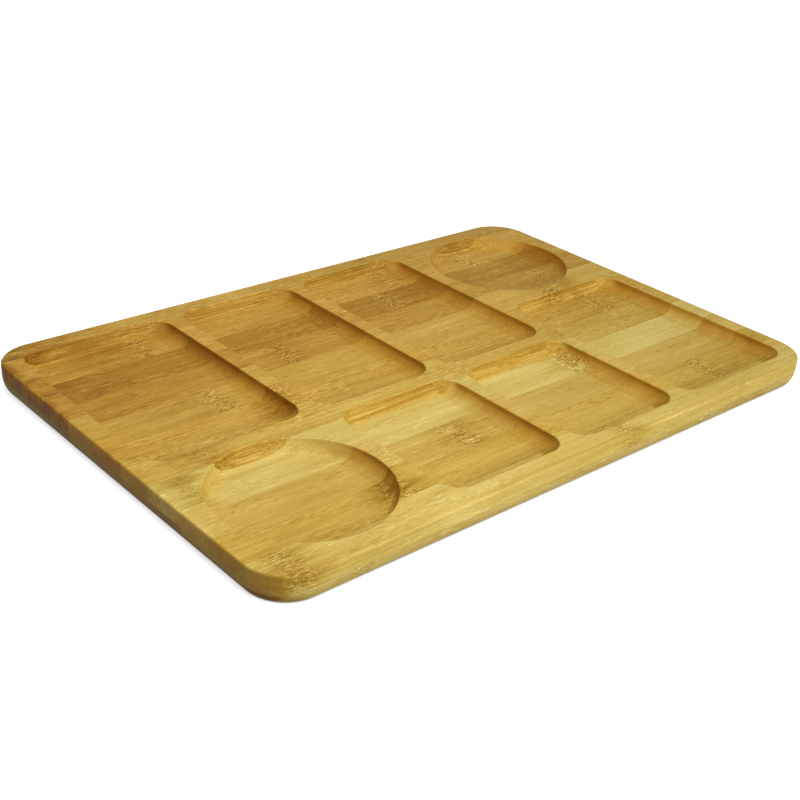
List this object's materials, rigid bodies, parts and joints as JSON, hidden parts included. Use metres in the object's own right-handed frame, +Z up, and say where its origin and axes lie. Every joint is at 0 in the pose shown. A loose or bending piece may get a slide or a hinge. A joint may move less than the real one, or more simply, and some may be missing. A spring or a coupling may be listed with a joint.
{
  "type": "divided serving tray",
  "caption": "Flat rectangular bamboo tray with rounded corners, glued up from strips, its top routed into shallow rectangular and round pockets that keep foods apart.",
  "frame": {"origin": "centre of the flat underside", "axes": "+X along the strips, the long way; +Y towards the back edge, where most of the long pockets are; +Z up, out of the pockets"},
  "size_m": [0.4, 0.27, 0.0161],
  "materials": {
    "bamboo_pale": "satin, sanded and oiled bamboo",
    "bamboo_honey": "satin, sanded and oiled bamboo",
    "bamboo_tan": "satin, sanded and oiled bamboo",
    "bamboo_brown": "satin, sanded and oiled bamboo"
  },
  "bodies": {
    "root": {"base_strip_01": "bamboo_pale", "base_strip_02": "bamboo_honey", "base_strip_03": "bamboo_honey", "base_strip_04": "bamboo_brown", "base_strip_05": "bamboo_tan", "base_strip_06": "bamboo_tan", "base_strip_07": "bamboo_tan", "base_strip_08": "bamboo_brown", "base_strip_09": "bamboo_tan", "base_strip_10": "bamboo_tan", "base_strip_11": "bamboo_honey", "top_strip_01": "bamboo_pale", "top_strip_02": "bamboo_honey", "top_strip_03": "bamboo_honey", "top_strip_04": "bamboo_pale", "top_strip_05": "bamboo_tan", "top_strip_06": "bamboo_tan", "top_strip_07": "bamboo_tan", "top_strip_08": "bamboo_brown", "top_strip_09": "bamboo_brown", "top_strip_10": "bamboo_tan", "top_strip_11": "bamboo_honey"}
  },
  "joints": []
}
